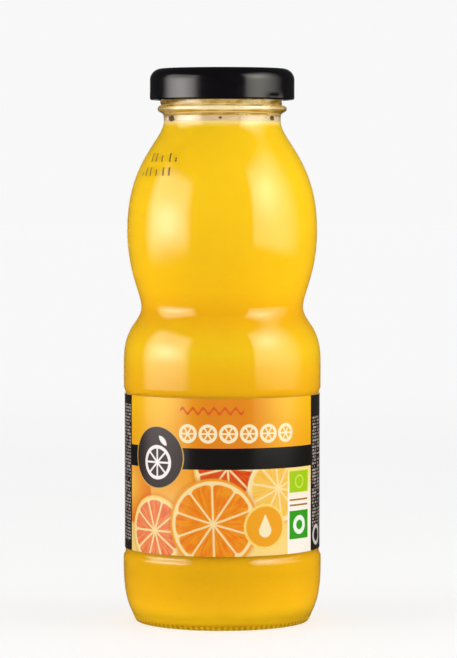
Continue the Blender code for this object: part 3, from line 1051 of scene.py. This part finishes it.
# Floor and room: emission, radiance seen and light given, from front, side and behind
FLOOR_RADIUS = 12.0
FLOOR_GLOW = 0.585
FLOOR_LIT = 1.0
FLOOR_FAR_GLOW = 0.315
ROOM_SEEN = 0.94
ROOM_DARK = 0.04
ROOM_BEHIND = 0.85
ROOM_FRONT = 0.45
ROOM_SIDE = 1.15

# Soft boxes. Each stands upright with its middle line on an azimuth; across runs to its own right as
# the bottle sees it, and up is the height above the floor, both in millimetres. fade is how far in it
# dims from its left, right, lower and upper edge. Levels are radiances.
BOX_DISTANCE = 0.36
SOFT_BOXES = (
    dict(name="soft_box_left", azimuth=-73.0, across=(-240.0, 290.0), up=(-30.0, 440.0),
         fade=(150.0, 115.0, 130.0, 130.0), level=3.2, core=5.2, centre=(40.0, 140.0),
         size=(130.0, 72.0), colour=(1.0, 0.95, 0.92)),
    dict(name="soft_box_right", azimuth=75.0, across=(-312.0, 255.0), up=(14.0, 640.0),
         fade=(60.0, 270.0, 55.0, 200.0), level=2.3, core=5.0, centre=(-120.0, 285.0),
         size=(130.0, 130.0), colour=(1.0, 0.96, 0.86)),
)

# Fills light colour but not gloss: (azimuth, distance, height, width, tall, watts)
FILLS = (
    (0.0, 1.40, 0.20, 1.4, 0.4, 5.2),
    (75.0, 1.0, 0.15, 0.5, 0.30, 4.3),
    (-70.0, 1.0, 0.15, 0.5, 0.30, 3.0),
)
FILL_AIM = Vector((0.0, 0.0, 0.08))


def build_floor():
    """A wide pale table that glows a little, and more far off, so that it stays even out to the
    horizon."""
    bpy.ops.mesh.primitive_circle_add(
        vertices=128, radius=FLOOR_RADIUS, fill_type='NGON', location=(0.0, 0.0, 0.0))
    floor = bpy.context.object
    floor.name = "pale_floor"
    g = new_material("pale_floor")
    place = g.position()
    far = g.ramp(g.vector('LENGTH', place), 0.35, 1.1)
    near = g.mix(g.noise(place, 6.0, 2.0), (0.37, 0.37, 0.37), (0.41, 0.41, 0.41))
    bounces = g.node("LightPath").outputs["Diffuse Depth"]
    glow = g.ramp(bounces, 0.0, 1.0, FLOOR_GLOW, FLOOR_LIT, 'LINEAR')
    g.surface(
        Base_Color=g.mix(far, near, (0.04, 0.04, 0.04)),
        Roughness=0.8,
        Emission_Color=(1.0, 1.0, 1.0),
        Emission_Strength=g.math('ADD', glow, g.product(far, FLOOR_FAR_GLOW)),
    )
    floor.data.materials.append(g.owner)
    floor.visible_glossy = False


def area_light(name, width, tall, watts, place, aim):
    """A rectangular light that the camera doesn't see."""
    light = bpy.data.lights.new(name, 'AREA')
    light.shape = 'RECTANGLE'
    light.size = width
    light.size_y = tall
    light.energy = watts
    made = new_object(name, light)
    made.location = place
    made.rotation_euler = aim.to_track_quat('-Z', 'Y').to_euler()
    made.visible_camera = False
    return made


def soft_box(name, azimuth, across, up, fade, level, core, centre, size, colour):
    """A tall soft box that shows in the gloss of the bottle, brightest at its core and dimmed towards
    its edges."""
    width = across[1] - across[0]
    height = up[1] - up[0]
    out = Vector((*outward(azimuth), 0.0))
    right = Vector((-out.y, out.x, 0.0))
    place = out * BOX_DISTANCE + right * 0.5 * (across[0] + across[1]) * MM
    place.z = 0.5 * (up[0] + up[1]) * MM
    box = area_light(name, width * MM, height * MM, math.pi * width * height * MM * MM, place, -out)
    box.visible_diffuse = False
    box.data.color = colour
    g = Graph(box.data)
    part_way = g.split(g.node("NewGeometry").outputs["Parametric"])
    x = g.math('MULTIPLY_ADD', part_way[0], width, across[0])
    y = g.math('MULTIPLY_ADD', part_way[1], height, up[0])
    strength = g.math('MULTIPLY_ADD', g.bell(x, y, centre, size), core, level)
    edges = ((x, across[0], fade[0]), (x, across[1], -fade[1]), (y, up[0], fade[2]), (y, up[1], -fade[3]))
    for value, edge, inward in edges:
        strength = g.product(strength, g.ramp(value, edge, edge + inward))
    g.feed(g.nodes["Emission"].inputs["Strength"], strength)


def build_lights():
    """The two soft boxes and the fills."""
    for box in SOFT_BOXES:
        soft_box(**box)
    for azimuth, distance, height, width, tall, watts in FILLS:
        x, y = outward(azimuth)
        place = Vector((distance * x, distance * y, height))
        fill = area_light("fill", width, tall, watts, place, FILL_AIM - place)
        fill.visible_glossy = False
        fill.visible_transmission = False


def build_world():
    """A bright even backdrop to look at; a room that lights colour from its sides; and gloss that meets
    only the dark, except just past the bottle's edge."""
    world = bpy.data.worlds.new("studio")
    bpy.context.scene.world = world
    g = Graph(world)
    ray = g.node("LightPath").outputs
    toward = g.split(g.node("TexCoord").outputs["Generated"])
    sideways = g.math('ABSOLUTE', toward[0])
    front = g.ramp(sideways, 0.25, 0.85, ROOM_FRONT, ROOM_SIDE)
    lit = g.ramp(toward[1], 0.0, 0.3, front, ROOM_SEEN)
    gloss = g.ramp(toward[1], 0.955, 0.995, ROOM_DARK, ROOM_BEHIND)
    mirrored = g.math('SUBTRACT', ray["Is Glossy Ray"], ray["Is Transmission Ray"])
    seen = g.ramp(mirrored, 0.0, 1.0, ROOM_SEEN, gloss, 'LINEAR')
    background = g.nodes["Background"]
    strength = g.ramp(ray["Diffuse Depth"], 0.0, 1.0, seen, lit, 'LINEAR')
    g.feed(background.inputs["Strength"], strength)
    g.feed(background.inputs["Color"], (1.0, 1.0, 1.0))


# The photograph's view: 457 by 658 pixels, the horizon at row 195, the bottle's axis at column 222.2
IMAGE_WIDTH = 457
IMAGE_HEIGHT = 658
AXIS_COLUMN = 222.2
HORIZON_ROW = 195.0
FOCAL_PIXELS = 3100.0
CAMERA_DISTANCE = 0.878
CAMERA_Z = 0.1206
SENSOR_HEIGHT = 36.0


def build_camera():
    """A camera in the photograph's place."""
    camera = bpy.data.cameras.new("camera")
    camera.sensor_fit = 'VERTICAL'
    camera.sensor_height = SENSOR_HEIGHT
    camera.lens = SENSOR_HEIGHT * FOCAL_PIXELS / IMAGE_HEIGHT
    made = new_object("camera", camera)
    made.location = (0.0, -CAMERA_DISTANCE, CAMERA_Z)
    aim_x = CAMERA_DISTANCE * (0.5 * IMAGE_WIDTH - AXIS_COLUMN) / FOCAL_PIXELS
    aim_z = CAMERA_Z - CAMERA_DISTANCE * (0.5 * IMAGE_HEIGHT - HORIZON_ROW) / FOCAL_PIXELS
    aim = Vector((aim_x, 0.0, aim_z))
    made.rotation_euler = (aim - made.location).to_track_quat('-Z', 'Y').to_euler()
    bpy.context.scene.camera = made


def dress():
    """Make every piece, and say which body it rides on and which solid it stands for."""
    lining = speckled_material(
        "gold_lacquer", 120.0, 3.0, (0.72, 0.40, 0.07), (0.80, 0.48, 0.12), Roughness=0.35, Metallic=0.25)
    compound = speckled_material(
        "cream_seal", 400.0, 2.0, (0.62, 0.55, 0.42), (0.70, 0.64, 0.52), Roughness=0.5)
    paper = speckled_material(
        "label_paper", 2500.0, 3.0, (0.60, 0.58, 0.53), (0.66, 0.64, 0.60), Roughness=0.6)
    ink = speckled_material(
        "jet_ink", 1200.0, 2.0, (0.030, 0.017, 0.003), (0.080, 0.045, 0.006), Roughness=0.5)
    pulp = speckled_material(
        "dried_pulp", 2200.0, 3.0, (0.02, 0.010, 0.002), (0.13, 0.065, 0.012), Roughness=0.6)
    glass = turned("bottle_glass", glass_outline(), [glass_material()], glass_relief)
    juice = turned("juice_fill", juice_outline(), [juice_material()])
    cap_line, cap_inner = cap_outline()
    cap = turned("black_cap", cap_line, [cap_material(), lining], cap_relief, cap_inner)
    cap.data.transform(Matrix.Translation(CAP_PIVOT) @ Matrix.Rotation(math.radians(CAP_TILT), 4, 'X')
                       @ Matrix.Translation(-CAP_PIVOT))
    seal = ring_body("cap_seal", seal_section, compound)
    film = ring_body("juice_film", film_section, film_material())
    label = build_label(label_material(), paper)
    marks = build_ink_marks(ink)
    flecks = build_pulp(pulp)
    pieces = (
        (glass, "glass_bottle", "glass"),
        (juice, "orange_juice", "juice"),
        (cap, "twist_cap", "cap"),
        (label, "label", "label"),
        (seal, None, "cap"),
        (film, None, "juice"),
        (marks, None, "label"),
        (flecks, None, "juice"),
    )
    for piece, node, slot in pieces:
        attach(piece, "root")
        if node:
            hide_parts(node)


dress()
build_floor()
build_lights()
build_world()
build_camera()
bpy.context.scene.view_settings.view_transform = 'Standard'
